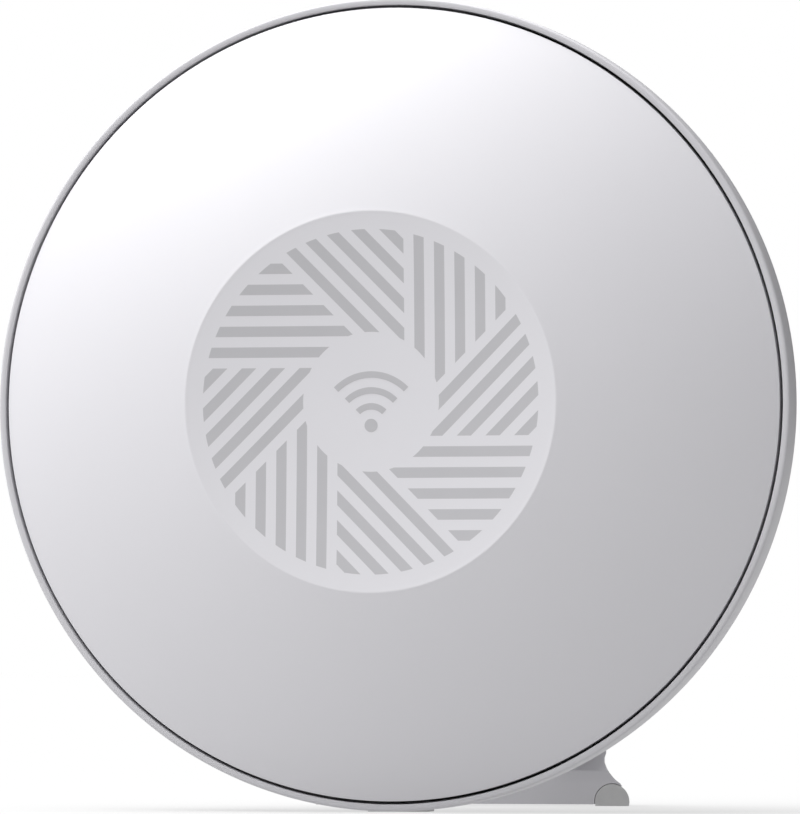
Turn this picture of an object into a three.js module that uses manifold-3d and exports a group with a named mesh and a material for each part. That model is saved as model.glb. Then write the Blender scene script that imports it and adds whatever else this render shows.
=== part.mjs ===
// A round wireless router that stands upright on its rim and on a rear stand.
// Millimetres, +Z up, the front faces -Y. The origin is on the table, under the middle of the outer box.
// The disc is drawn about its own axis: x and z are 0 on that axis, and y is 0 at the seam between the
// front cover and the rear housing, growing towards the back.
import * as THREE from "three";
import { mergeVertices } from "three/addons/utils/BufferGeometryUtils.js";
import Module from "manifold-3d";

const wasm = await Module();
wasm.setup();

// ---- Driving dimensions --------------------------------------------------------------------------------

const gap = 0.3; // clearance between pieces that touch or fit into each other
const roundSteps = 60; // facets round the disc

// the disc
const rimRadius = 80; // the rear housing's rim, the widest part
const rimWall = 1.4; // the rim's wall outside the seam
const seamWidth = 0.6; // the dark line between cover and rim
const wall = 2.2;
const domeHeight = 16.3; // the dome's crest in front of the seam
const rimStraight = 4.4; // the straight part of the rim
const backPlane = 27; // the flat back, behind the seam
const bowlWidth = 18; // from the rim to the edge of the flat back

// the dished light panel in the middle of the dome
const dishRadius = 37.2;
const dishDepth = 1.3;
const patternRadius = 33.65; // the circle the light bars end on
const patternInner = 13.63; // the clear circle inside them
const sectors = 8;
const barsInSector = 5;
const barPitch = 4.08;
const barWidth = 2.04;
const barStart = 8.74; // from the axis to the first bar of a sector
const emblemDrop = 4.6; // the emblem's dot below the axis
const emblemDot = 1.3;
const emblemArcs = [3.1, 6.2, 9.3]; // inner radii of its arcs
const emblemStroke = 1.25;

// the light box behind the dish
const diffuserPlate = 1.4;
const cupLength = 6.4;
const cupWall = 1.6;
const lampBoardThick = 1.2;
const lampBoardMargin = 6; // the lamp board outside the collar, for its screws
const lampSize = 3.2;
const lampHeight = 1.2;
const lampRing = 20;
const lampCount = 4;

// the gasket between cover and housing
const skirtEnd = 2.6;
const gasketThick = 1;
const gasketWidth = 2.4;

// the plug bay, a pocket in the lower back that the sockets face down into
const bayMargin = 3.5; // from the row of sockets to the bay's sides
const bayCeiling = -28;
const bayFront = 8;
const bayRampTop = -56;
const bayWall = 2;

// the main board
const boardFront = 8.4;
const boardThick = 1.6;
const boardBottom = -24;
const boardTop = 56;
const boardMargin = 9.5; // from the row of sockets to the board's edges
const boardNeckHalf = 32; // its narrower top
const boardShoulder = 34;
const boardNotch = [5, 10]; // cut off its lower corners

// sockets
const netJack = { width: 16, depth: 13.5, length: 21.3, shell: 0.7 };
const netCount = 4;
const socketSpace = 2; // between sockets
const plugHole = { width: 11.8, depth: 7, length: 14 };
const latchHole = { width: 6.2, depth: 2.2 };
const powerJack = { width: 9, depth: 11, length: 14, hole: 3.2, pin: 1, bore: 10 };

// keys on the back
const keyRadius = 4.5;
const keyStand = 1.2; // how far a key stands out
const resetRadius = 1.1;
const resetSunk = 1.6;
const keyFlange = 1;
const keyStem = 1.5;
const keyTravel = 0.6;
const keys = [
  { name: "power_button", x: -38, z: 14, radius: keyRadius, stand: keyStand },
  { name: "pairing_button", x: 38, z: 14, radius: keyRadius, stand: keyStand },
  { name: "reset_button", x: 38, z: -2, radius: resetRadius, stand: -resetSunk },
];
const switchSize = 6;
const switchHeight = 3.4;

// screws
const shellScrew = { shaft: 1.4, head: 2.7, headThick: 1.8, length: 12 };
const shellScrewSunk = 3.4;
const bossRadius = 4;
const postRadius = 3.4;
const boardScrew = { shaft: 1.1, head: 2.3, headThick: 1.4, length: 6 };
const standoffRadius = 2.8;
const lampScrew = { shaft: 0.9, head: 1.9, headThick: 1.2, length: 4 };
const lampScrewAngles = [90, 210, 330];
const lampBossRadius = 2.6;

// wall-hanging keyholes
const keyhole = { x: 24, z: 46, radius: 4.2, slot: 2.2, rise: 7 };

// cooling slots through the bowl of the housing
const ventWidth = 2.2;
const ventStep = 6; // degrees
const ventGroups = [[90, 5], [206, 2], [334, 2]]; // middle angle, slots on each side of it

// the rubber pad under the rim
const rimPad = { half: 6, length: 6, thick: 1.6, stand: 0.15 };

// the stand
const standThick = 5;
const shoeTop = 40;
const shoeHalf = 19;
const shoeBottom = 4; // where the shoe ends and the leg bends away
const neckHalf = 28.2; // half width of the leg above the foot
const footFlare = [[2.9, 4.6], [1.85, 5.4], [0.6, 6.84], [-0.4, 9], [0, 10.6]]; // beyond the neck, height
const footHalf = 33.1;
const footFront = 70;
const footDepth = 10;
const footHeight = 7.2;
const footEnd = 3.7; // radius of the foot's rounded ends
const footEndRise = 0.9; // their middle above the table
const footTaper = 0.08; // how much the foot narrows to its back
const footFillet = 5;
const legSetBack = 4; // from the foot's front to the leg's front
const padRadius = 3.6;
const padWall = 3; // the foot behind its pads
const cableHole = { half: 14, bottom: 26, top: 58, corner: 8 }; // heights above the table
const tongue = { half: 10.2, neckHalf: 6, thick: 2.4, height: 16 };
const railDepth = 3.2;
const railWall = 1.7;
const railTop = 36.6;
const railBottom = -2;

// what is on the main board
const processor = { x: 0, z: 18, size: 15, thick: 1.2 };
const sink = { size: 30, base: 2, fins: 6, finThick: 1.4, finHeight: 5.2 };
const capacitor = { radius: 3.2, length: 9 };

// antennas along the housing's wall
const antenna = { inset: 1.2, thick: 0.8, front: 7, back: 15, span: 22 };
const antennaAngles = [8, 38, 142, 172];
const ribThick = 1.2;
const coaxRadius = 0.7;

// ---- Derived places ------------------------------------------------------------------------------------

const table = -rimRadius - rimPad.stand;
const backRadius = rimRadius - bowlWidth;
const seamOuter = rimRadius - rimWall;
const coverRadius = seamOuter - seamWidth;
const skirtInner = coverRadius - wall;
const domeCentre = (coverRadius ** 2 - dishRadius ** 2 - domeHeight ** 2) / (2 * domeHeight);
const domeRadius = Math.hypot(coverRadius, domeCentre);
const dishFloor = dishDepth - domeHeight;
const plateFront = dishFloor + wall + gap;
const cupFront = plateFront + diffuserPlate + gap;
const lampBoardFront = cupFront + cupLength + gap;
const lampBoardBack = lampBoardFront + lampBoardThick;
const collarInner = dishRadius + gap;
const collarOuter = collarInner + wall;
const lampBoardRadius = collarOuter + lampBoardMargin;
const lampScrewRing = collarOuter + lampBoardMargin / 2;
const gasketFront = skirtEnd + gap;
const gasketBack = gasketFront + gasketThick;
const rimPadFront = gasketBack + gap + wall;
const boardBack = boardFront + boardThick;
const partsFront = boardBack + gap; // the front of everything on the board's back
const netPitch = netJack.width + socketSpace;
const rowHalf = (powerJack.width + netCount * netPitch) / 2;
const powerAt = -rowHalf + powerJack.width / 2;
const lastNet = rowHalf - netJack.width / 2;
const netCentres = Array.from({ length: netCount }, (_, i) => lastNet - (netCount - 1 - i) * netPitch);
const bayHalf = rowHalf + bayMargin;
const boardHalf = rowHalf + boardMargin;
const bothSides = (places) => places.flatMap(([x, z]) => [[-x, z], [x, z]]);
const shellScrews = bothSides([[boardHalf + 2, -20], [boardNeckHalf + 6, 42]]);
const boardScrews = bothSides([[boardHalf - 3, -8], [boardHalf - 4, 26]]);
const antennaRadius = bowlAt(antenna.back, wall) - antenna.inset;
const backInside = backPlane - wall;
const postEnd = backInside - shellScrew.length;
const standFront = backPlane + gap;
const standBack = standFront + standThick;
const footBack = footFront + footDepth;
const legFoot = footFront + legSetBack + standThick / 2;
const padBack = footBack - padWall;

// The bowl's radius at a depth, drawn in by an offset.
function bowlAt(y, offset) {
  const depth = backPlane - rimStraight - offset;
  return backRadius - offset + bowlWidth * Math.sqrt(1 - ((y - rimStraight) / depth) ** 2);
}

// ---- Materials -----------------------------------------------------------------------------------------

const finish = (color, roughness, metalness = 0) =>
  new THREE.MeshStandardMaterial({ color, roughness, metalness });

const finishes = {
  glossWhite: [0xeeeff2, 0.2],
  satinWhite: [0xe3e4e7, 0.35],
  lightPanel: [0xb6b6bb, 0.45],
  gasketBlack: [0x101113, 0.8],
  rubberGrey: [0xb9babd, 0.75],
  boardGreen: [0x1d5b3a, 0.5],
  steel: [0xc4c7ca, 0.3, 1],
  blackPlastic: [0x18191b, 0.5],
  chipBlack: [0x222326, 0.6],
  aluminium: [0xa9adb2, 0.35, 1],
  copper: [0xc98a4b, 0.35, 1],
  flexAmber: [0xc9882b, 0.4],
  mirrorWhite: [0xf7f7f7, 0.6],
  cableGrey: [0x2c2d30, 0.5],
};

// ---- Helpers -------------------------------------------------------------------------------------------

// A three.js geometry as a solid.
function solid(geometry) {
  const bare = geometry.clone();
  bare.deleteAttribute("normal");
  bare.deleteAttribute("uv");
  const merged = mergeVertices(bare, 1e-4);
  return new wasm.Manifold(
    new wasm.Mesh({
      numProp: 3,
      vertProperties: merged.attributes.position.array,
      triVerts: new Uint32Array(merged.index.array),
    }),
  );
}

// A solid as a three.js geometry.
function geometryOf(made) {
  const mesh = made.getMesh();
  const geometry = new THREE.BufferGeometry();
  geometry.setAttribute("position", new THREE.BufferAttribute(mesh.vertProperties, 3));
  geometry.setIndex(new THREE.BufferAttribute(mesh.triVerts, 1));
  return geometry;
}

const extruded = (shape, depth) =>
  new THREE.ExtrudeGeometry(shape, { depth, bevelEnabled: false, curveSegments: 6 });

// A shape drawn in x and z, extruded from y0 to y1.
const alongY = (shape, y0, y1) =>
  solid(extruded(shape, y1 - y0).rotateX(Math.PI / 2).translate(0, y1, 0));

// A shape drawn in y and z, extruded from x0 to x1.
const alongX = (shape, x0, x1) =>
  solid(extruded(shape, x1 - x0).rotateX(Math.PI / 2).rotateZ(Math.PI / 2).translate(x0, 0, 0));

// A box between two values on each axis.
function box(x0, x1, y0, y1, z0, z1) {
  const geometry = new THREE.BoxGeometry(x1 - x0, y1 - y0, z1 - z0);
  return solid(geometry.translate((x0 + x1) / 2, (y0 + y1) / 2, (z0 + z1) / 2));
}

// A round bar along Y at (x, z).
function barY(radius, x, z, y0, y1, steps = 16) {
  const geometry = new THREE.CylinderGeometry(radius, radius, y1 - y0, steps);
  return solid(geometry.translate(x, (y0 + y1) / 2, z));
}

// A round bar along Z at (x, y).
function barZ(radius, x, y, z0, z1, steps = 16) {
  const geometry = new THREE.CylinderGeometry(radius, radius, z1 - z0, steps);
  return solid(geometry.rotateX(Math.PI / 2).translate(x, y, (z0 + z1) / 2));
}

// A profile of [radius, y] points turned about the disc's axis. The outside runs from front to back.
function turned(profile, steps = roundSteps) {
  const points = profile.map(([r, y]) => new THREE.Vector2(r, y));
  return solid(new THREE.LatheGeometry(points, steps));
}

const closed = (profile) => [...profile, profile[0]];
const ringY = (outer, inner, y0, y1) => turned(closed([[inner, y0], [outer, y0], [outer, y1], [inner, y1]]));
const outline = (points) => new THREE.Shape(points.map(([a, b]) => new THREE.Vector2(a, b)));
const union = (solids) => solids.reduce((a, b) => a.add(b));
const cutAll = (body, cutters) => cutters.reduce((a, b) => a.subtract(b), body);
const spread = (from, to, steps) =>
  Array.from({ length: steps + 1 }, (_, i) => from + ((to - from) * i) / steps);
const radians = THREE.MathUtils.degToRad;
const polar = (radius, angle) => [radius * Math.cos(radians(angle)), radius * Math.sin(radians(angle))];
const mirrored = (right) => [...right, ...right.map(([x, z]) => [-x, z]).reverse()];

// Points on an arc, angles in degrees.
const arcPoints = ([cx, cz], [rx, rz], from, to, steps) =>
  spread(from, to, steps).map(radians).map((turn) => [cx + rx * Math.cos(turn), cz + rz * Math.sin(turn)]);

const router = new THREE.Group();

function place(name, made, look) {
  const mesh = new THREE.Mesh(geometryOf(made), finish(...finishes[look]));
  mesh.name = name;
  router.add(mesh);
}

// ---- The pattern of light bars -------------------------------------------------------------------------

// Every bar lies in a band across its sector, and ends one bar gap short of the next sector's first bar.
function patternBars(shrink) {
  const far = patternRadius * 1.2;
  const ring = ringY(patternRadius - shrink, patternInner + shrink, -1, 1);
  const turn = 360 / sectors;
  const edge = barStart - (barPitch - barWidth) - shrink;
  const clip = box(-far * 2, far * 2, -1, 1, -far * 2, edge).rotate([0, turn, 0]);
  const bars = [];
  for (let sector = 0; sector < sectors; sector++) {
    for (let i = 0; i < barsInSector; i++) {
      const low = barStart + i * barPitch;
      const band = box(-far, far, -1, 1, low + shrink, low + barWidth - shrink).intersect(clip);
      bars.push(band.rotate([0, turn * sector, 0]).intersect(ring));
    }
  }
  return bars;
}

// The emblem: a dot with three arcs above it.
function emblemPieces(shrink) {
  const at = [0, -emblemDrop];
  const dot = barY(emblemDot - shrink, ...at, -1, 1);
  const arcs = emblemArcs.map((radius) => {
    const outer = radius + emblemStroke - shrink;
    const inner = radius + shrink;
    const over = arcPoints(at, [outer, outer], 45, 135, 8);
    return alongY(outline([...over, ...arcPoints(at, [inner, inner], 135, 45, 8)]), -1, 1);
  });
  return [dot, ...arcs];
}

// Each piece of the pattern, run from y0 to y1.
const patternThrough = (shrink, y0, y1) =>
  [...patternBars(shrink), ...emblemPieces(shrink)].map((piece) =>
    piece.scale([1, (y1 - y0) / 2, 1]).translate([0, (y0 + y1) / 2, 0]),
  );

// ---- Front cover ---------------------------------------------------------------------------------------

const domeAt = (r, radius = domeRadius) => domeCentre - Math.sqrt(radius ** 2 - r ** 2);
const dome = (from, to, steps, radius) => spread(from, to, steps).map((r) => [r, domeAt(r, radius)]);
const dish = spread(0, dishRadius, 5).map((r) => [r, dishFloor - dishDepth * (r / dishRadius) ** 2]);

function frontCover() {
  const inside = [
    [coverRadius, skirtEnd],
    [skirtInner, skirtEnd],
    ...dome(skirtInner, collarOuter, 6, domeRadius - wall),
    [collarOuter, lampBoardFront - gap],
    [collarInner, lampBoardFront - gap],
    [collarInner, plateFront - gap],
    [0, plateFront - gap],
  ];
  const shell = turned([...dish, ...dome(dishRadius, coverRadius, 9).slice(1), ...inside]);
  const edge = coverRadius - wall / 2;
  const behindDome = turned([...dome(0, edge, 12, domeRadius - wall / 2), [edge, backPlane], [0, backPlane]]);
  const boss = ([x, z], radius, end, { shaft }, depth) =>
    barY(radius, x, z, -domeHeight, end)
      .intersect(behindDome)
      .subtract(barY(shaft + gap, x, z, end - depth, end + 1, 12));
  const posts = shellScrews.map((at) => boss(at, postRadius, postEnd, shellScrew, postEnd));
  const lampEnd = lampBoardFront - gap;
  const lampBosses = lampScrewAngles.map((angle) =>
    boss(polar(lampScrewRing, angle), lampBossRadius, lampEnd, lampScrew, lampScrew.length),
  );
  const slots = patternThrough(0, -domeHeight - 1, plateFront);
  return cutAll(union([shell, ...posts, ...lampBosses]), slots);
}

// ---- Light box -----------------------------------------------------------------------------------------

function lightDiffuser() {
  const plate = barY(dishRadius - gap, 0, 0, plateFront, plateFront + diffuserPlate, roundSteps);
  const inFront = turned([[0, -domeHeight - 2], [dishRadius, -domeHeight - 2], ...[...dish].reverse()]);
  const bars = patternThrough(gap, -domeHeight - 1, plateFront + diffuserPlate / 2);
  return union([plate, ...bars]).subtract(inFront);
}

const reflectorCup = () =>
  ringY(dishRadius - gap, dishRadius - gap - cupWall, cupFront, cupFront + cupLength);

function lampBoard() {
  const plate = barY(lampBoardRadius, 0, 0, lampBoardFront, lampBoardBack, 48);
  const holes = lampScrewAngles.map((angle) =>
    barY(lampScrew.shaft + gap, ...polar(lampScrewRing, angle), lampBoardFront - 1, lampBoardBack + 1, 12),
  );
  return cutAll(plate, holes);
}

function lamp(index) {
  const [x, z] = polar(lampRing, ((index + 0.5) * 360) / lampCount);
  const half = lampSize / 2;
  const back = lampBoardFront - gap;
  return box(x - half, x + half, back - lampHeight, back, z - half, z + half);
}

// The flat cable between the lamp board and the main board: a thin strip bent into a U.
function lampFlex() {
  const front = lampBoardBack + gap;
  const back = boardFront - gap;
  const low = boardBottom + 4;
  const thick = 0.5;
  const bend = 2;
  const side = (inset) => [
    [front + inset, low + 14],
    [front + inset, low + bend],
    [front + bend, low + inset],
    [back - bend, low + inset],
    [back - inset, low + bend],
    [back - inset, low + 10],
  ];
  return alongX(outline([...side(0), ...side(thick).reverse()]), -5, 5);
}

const seamGasket = () => ringY(seamOuter - gap, seamOuter - gap - gasketWidth, gasketFront, gasketBack);

// ---- Rear housing --------------------------------------------------------------------------------------

// The bowl's curve from the rim to the edge of the flat back, drawn in by an offset.
const bowlCurve = (offset, steps) =>
  arcPoints([backRadius - offset, rimStraight], [bowlWidth, backPlane - rimStraight - offset], 0, 90, steps);

const bowlOutside = [[rimRadius - 0.5, 0], [rimRadius, 0.5], ...bowlCurve(0, 9), [0, backPlane]];

function bowlShell() {
  const ledge = gasketBack + gap;
  const ledgeBack = ledge + wall;
  const ledgeInner = seamOuter - gasketWidth - gap;
  const curve = bowlCurve(wall, 8).reverse();
  const inside = [
    [0, backInside],
    ...curve.filter(([r, y]) => y > ledgeBack + 0.5 && r < ledgeInner),
    [ledgeInner, ledgeBack],
    [ledgeInner, ledge],
    [seamOuter, ledge],
  ];
  return turned(closed([[seamOuter, 0], ...bowlOutside, ...inside]));
}

// The plug bay's section in y and z, drawn out by an offset for its walls.
function baySection(offset) {
  const far = backPlane + 14;
  const slope = (bayRampTop + backRadius + 8) / (backPlane - bayFront);
  const drop = offset * Math.hypot(1, slope);
  const ramp = (y) => bayRampTop - slope * (y - bayFront) - drop;
  return outline([
    [bayFront - offset, bayCeiling + offset],
    [bayFront - offset, ramp(bayFront - offset)],
    [far, ramp(far)],
    [far, bayCeiling + offset],
  ]);
}

// The passages for the sockets through the bay's ceiling.
function socketCuts() {
  const passage = (at, { width, depth }) => {
    const half = width / 2 + gap;
    const back = partsFront + depth + gap;
    return box(at - half, at + half, boardBack, back, bayCeiling - 1, bayCeiling + bayWall + 1);
  };
  return [...netCentres.map((at) => passage(at, netJack)), passage(powerAt, powerJack)];
}

function ventCuts() {
  const half = ventWidth / 2;
  const slot = box(backRadius + 3, rimRadius - 4, antenna.front, backPlane + 1, -half, half);
  return ventGroups.flatMap(([middle, each]) =>
    spread(-each, each, 2 * each).map((i) => slot.rotate([0, -(middle + i * ventStep), 0])),
  );
}

function keyholeCuts() {
  const { x: across, z, radius, slot, rise } = keyhole;
  const y = [backInside - 1, backPlane + 1];
  return [-across, across].map((x) =>
    union([
      barY(radius, x, z, ...y),
      box(x - slot, x + slot, ...y, z, z + rise),
      barY(slot, x, z + rise, ...y, 12),
    ]),
  );
}

// The pocket behind the back wall that takes the stand's tongue.
const railRoom = gap + 0.1;
const railFront = backInside - railDepth;

function railBox() {
  const half = tongue.half + railRoom + railWall;
  return box(-half, half, railFront - railWall, backInside + 0.1, railBottom - railWall, railTop + railWall);
}

function railCuts() {
  const wide = tongue.half + railRoom;
  const narrow = tongue.neckHalf + railRoom;
  const through = [backInside - 1, backPlane + 1];
  return [
    box(-wide, wide, railFront, backInside, railBottom, railTop),
    box(-wide, wide, ...through, railBottom, railBottom + tongue.height + 1),
    box(-narrow, narrow, ...through, railBottom, railTop),
  ];
}

// Ribs that carry an antenna, two under each.
function antennaRibs() {
  const rib = box(antennaRadius + gap, rimRadius, antenna.front, antenna.back, -ribThick / 2, ribThick / 2);
  const offsets = [-antenna.span / 3, antenna.span / 3];
  return antennaAngles.flatMap((angle) => offsets.map((offset) => rib.rotate([0, -(angle + offset), 0])));
}

function rimPadSolid(room) {
  const { half, length, thick } = rimPad;
  const back = rimPadFront + length + room;
  return box(-half - room, half + room, rimPadFront - room, back, table - 5 * room, table + thick + room);
}

const guideRadius = (radius) => radius + keyFlange + gap + 1.2;

function rearHousing() {
  const whole = turned([[0, 0], ...bowlOutside]);
  const half = bayHalf + bayWall;
  const screwSeat = postEnd + gap;
  const atBack = backInside + 0.5;
  const clipped = [
    alongX(baySection(bayWall), -half, half),
    ...antennaRibs(),
    rimPadSolid(wall),
  ].map((piece) => piece.intersect(whole));
  const added = [
    railBox(),
    ...shellScrews.map(([x, z]) => barY(bossRadius, x, z, screwSeat, atBack)),
    ...boardScrews.map(([x, z]) => barY(standoffRadius, x, z, partsFront, atBack)),
    ...keys.map(({ x, z, radius }) => barY(guideRadius(radius), x, z, backInside - 4, atBack, 20)),
  ];
  const cuts = [
    alongX(baySection(0), -bayHalf, bayHalf),
    rimPadSolid(gap),
    ...socketCuts(),
    ...ventCuts(),
    ...keyholeCuts(),
    ...railCuts(),
    ...shellScrews.flatMap(([x, z]) => [
      barY(shellScrew.head + gap, x, z, backPlane - shellScrewSunk, backPlane + 1),
      barY(shellScrew.shaft + gap, x, z, screwSeat - 1, backPlane, 12),
    ]),
    ...boardScrews.map(([x, z]) =>
      barY(boardScrew.shaft + gap, x, z, boardBack, boardBack + boardScrew.length, 12),
    ),
    ...keys.flatMap(({ x, z, radius }) => [
      barY(radius + gap, x, z, backInside - 5, backPlane + 1, 20),
      barY(radius + keyFlange + gap, x, z, backInside - 5, backInside, 20),
    ]),
  ];
  return cutAll(union([bowlShell(), ...clipped, ...added]), cuts);
}

// ---- Keys and their switches ---------------------------------------------------------------------------

function key({ x, z, radius, stand }) {
  const flangeBack = backInside - gap;
  const switchEnd = partsFront + switchHeight;
  return union([
    barY(radius, x, z, flangeBack - keyFlange, backPlane + stand, 20),
    barY(radius + keyFlange, x, z, flangeBack - keyFlange, flangeBack, 20),
    barY(Math.min(radius, keyStem), x, z, switchEnd + keyTravel + gap, flangeBack - keyFlange / 2, 12),
  ]);
}

function keySwitch({ x, z }) {
  const half = switchSize / 2;
  const can = box(x - half, x + half, partsFront, partsFront + switchHeight - 1, z - half, z + half);
  return can.add(barY(keyStem, x, z, partsFront + 1, partsFront + switchHeight, 12));
}

// ---- Main board ----------------------------------------------------------------------------------------

function mainBoard() {
  const [notchX, notchZ] = boardNotch;
  const edge = mirrored([
    [boardHalf - notchX, boardBottom],
    [boardHalf - notchX, boardBottom + notchZ],
    [boardHalf, boardBottom + notchZ],
    [boardHalf, boardShoulder],
    [boardNeckHalf, boardShoulder],
    [boardNeckHalf, boardTop],
  ]);
  const holes = boardScrews.map(([x, z]) =>
    barY(boardScrew.shaft + gap, x, z, boardFront - 1, boardBack + 1, 12),
  );
  return cutAll(alongY(outline(edge), boardFront, boardBack), holes);
}

// A chip, can or other block on the back of the board.
function onBoard(x, z, width, height, thick, lift = 0) {
  const front = partsFront + lift;
  return box(x - width / 2, x + width / 2, front, front + thick, z - height / 2, z + height / 2);
}

function heatSink() {
  const { x, z, thick } = processor;
  const { size, base, fins, finThick, finHeight } = sink;
  const lift = thick + gap;
  const reach = (size - finThick) / 2;
  return union([
    onBoard(x, z, size, size, base, lift),
    ...spread(x - reach, x + reach, fins - 1).map((at) =>
      onBoard(at, z, finThick, size, base + finHeight, lift),
    ),
  ]);
}

// ---- Sockets -------------------------------------------------------------------------------------------

function netShield(at) {
  const { width, depth, length, shell } = netJack;
  const half = width / 2;
  const top = bayCeiling + length;
  const back = partsFront + depth;
  return box(at - half, at + half, partsFront, back, bayCeiling, top).subtract(
    box(at - half + shell, at + half - shell, partsFront + shell, back - shell, bayCeiling - 1, top - shell),
  );
}

function netCore(at) {
  const { width, depth, length, shell } = netJack;
  const inset = shell + gap;
  const half = width / 2 - inset;
  const front = partsFront + inset;
  const back = partsFront + depth - inset;
  const top = bayCeiling + length - inset;
  const plugFront = (front + back - plugHole.depth - latchHole.depth) / 2;
  const plugBack = plugFront + plugHole.depth;
  const hole = (width, y0, y1) =>
    box(at - width / 2, at + width / 2, y0, y1, bayCeiling - 1, bayCeiling + plugHole.length);
  return box(at - half, at + half, front, back, bayCeiling + gap, top)
    .subtract(hole(plugHole.width, plugFront, plugBack))
    .subtract(hole(latchHole.width, plugBack - 1, plugBack + latchHole.depth));
}

function powerSocket() {
  const { width, depth, length, hole, pin, bore } = powerJack;
  const at = powerAt;
  const half = width / 2;
  const middle = partsFront + depth / 2;
  return box(at - half, at + half, partsFront, partsFront + depth, bayCeiling, bayCeiling + length)
    .subtract(barZ(hole, at, middle, bayCeiling - 1, bayCeiling + bore, 20))
    .add(barZ(pin, at, middle, bayCeiling + 1, bayCeiling + bore + 1, 12));
}

// ---- Screws --------------------------------------------------------------------------------------------

// A pan-head screw along Y with its head against the seat, its shaft running the way of the sign.
function screw({ shaft, head, headThick, length }, [x, z], seat, sign) {
  const span = (a, b) => [seat + sign * Math.min(a, b), seat + sign * Math.max(a, b)].sort((p, q) => p - q);
  return barY(head, x, z, ...span(-headThick, 0))
    .add(barY(shaft, x, z, ...span(-headThick / 2, length), 12))
    .subtract(barY(head * 0.42, x, z, ...span(-headThick - 1, -headThick * 0.4), 6));
}

// ---- Antennas ------------------------------------------------------------------------------------------

function antennaStrip(angle) {
  const from = angle - antenna.span / 2;
  const to = angle + antenna.span / 2;
  const inner = antennaRadius - antenna.thick;
  const points = [
    ...arcPoints([0, 0], [antennaRadius, antennaRadius], from, to, 8),
    ...arcPoints([0, 0], [inner, inner], to, from, 8),
  ];
  return alongY(outline(points), antenna.front, antenna.back);
}

// A coaxial lead from an antenna down to the front of the main board.
function coaxLead(angle) {
  const start = antennaRadius - antenna.thick - gap - coaxRadius / 2;
  const reach = start - boardHalf + 2;
  const end = boardFront - 2 * gap;
  const stations = [
    [0, 10.5, 0],
    [0.2, 8.6, 1],
    [0.52, 5, 3],
    [0.76, 4.2, 5],
    [0.94, 5, 5.5],
    [1, end, 5.5],
  ];
  const side = Math.sign(90 - angle);
  const points = stations.map(([inward, y, swing]) => {
    const [x, z] = polar(start - inward * reach, angle - swing * side);
    return new THREE.Vector3(x, y, z);
  });
  const circle = new THREE.Shape().absarc(0, 0, coaxRadius, 0, 2 * Math.PI);
  const extrudePath = new THREE.CatmullRomCurve3(points);
  return solid(new THREE.ExtrudeGeometry(circle, { steps: 16, extrudePath, curveSegments: 8 }));
}

// ---- Stand ---------------------------------------------------------------------------------------------

// The stand from the side, in y and z: foot, curved leg and shoe in one outline.
function standSide() {
  const half = standThick / 2;
  const middle = standFront + half;
  const footTop = table + footHeight;
  const filletTop = footTop + footFillet;
  const legLength = shoeBottom - footTop;
  const spine = new THREE.CubicBezierCurve(
    new THREE.Vector2(legFoot, footTop),
    new THREE.Vector2(legFoot, footTop + legLength * 0.45),
    new THREE.Vector2(middle, shoeBottom - legLength * 0.55),
    new THREE.Vector2(middle, shoeBottom),
  );
  const side = (sign) =>
    spread(0, 1, 14)
      .map((t) => {
        const { x, y } = spine.getPoint(t);
        const along = spine.getTangent(t);
        return [x + sign * half * along.y, y - sign * half * along.x];
      })
      .filter(([, z]) => z > filletTop);
  const front = side(-1).reverse();
  const legFront = front.at(-1)[0];
  return outline([
    [footFront, table + gap],
    [footBack - 2, table + gap],
    [footBack, table + gap + 2],
    [footBack, footTop - 1],
    [footBack - 1, footTop],
    ...side(1),
    [standBack, shoeTop - 2],
    [standBack - 2, shoeTop],
    [standFront, shoeTop],
    ...front,
    ...arcPoints([footFront, filletTop], [legFront - footFront, footFillet], 0, -90, 5),
  ]);
}

// The stand from the front, in x and z: flared foot, tapering leg, round-cornered shoe.
function standFace() {
  const endAt = [footHalf - footEnd, table + footEndRise];
  const corner = [shoeHalf - 6, shoeTop - 6];
  return outline(
    mirrored([
      [footHalf, table],
      ...arcPoints(endAt, [footEnd, footEnd], 0, 50, 5),
      ...footFlare.map(([beyond, height]) => [neckHalf + beyond, table + height]),
      [neckHalf, table + cableHole.bottom],
      [shoeHalf, shoeBottom],
      ...arcPoints(corner, [6, 6], 0, 90, 5),
    ]),
  );
}

// A shape drawn in x and z, extruded back from the foot's front and narrowed as the foot is.
function narrowing(shape, y1) {
  const geometry = extruded(shape, y1 - footFront).rotateX(Math.PI / 2).translate(0, y1, 0);
  const position = geometry.attributes.position;
  for (let i = 0; i < position.count; i++) {
    const share = (position.getY(i) - footFront) / footDepth;
    position.setX(i, position.getX(i) * (1 - footTaper * share));
  }
  return solid(geometry);
}

// A D-shaped pad's section in x and z: a circle cut flat at a floor height.
function padSection(side, radius, floor) {
  const at = [side * (footHalf - footEnd), table + footEndRise];
  const dip = THREE.MathUtils.radToDeg(Math.asin((footEndRise - floor) / radius));
  return outline(arcPoints(at, [radius, radius], -dip, 180 + dip, 16));
}

const standPad = (side) => narrowing(padSection(side, padRadius, 0), padBack);

function padSeat(side) {
  const section = padSection(side, padRadius + gap, -2 * gap);
  return alongY(section, footFront - 1, footFront).add(narrowing(section, padBack + gap));
}

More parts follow.
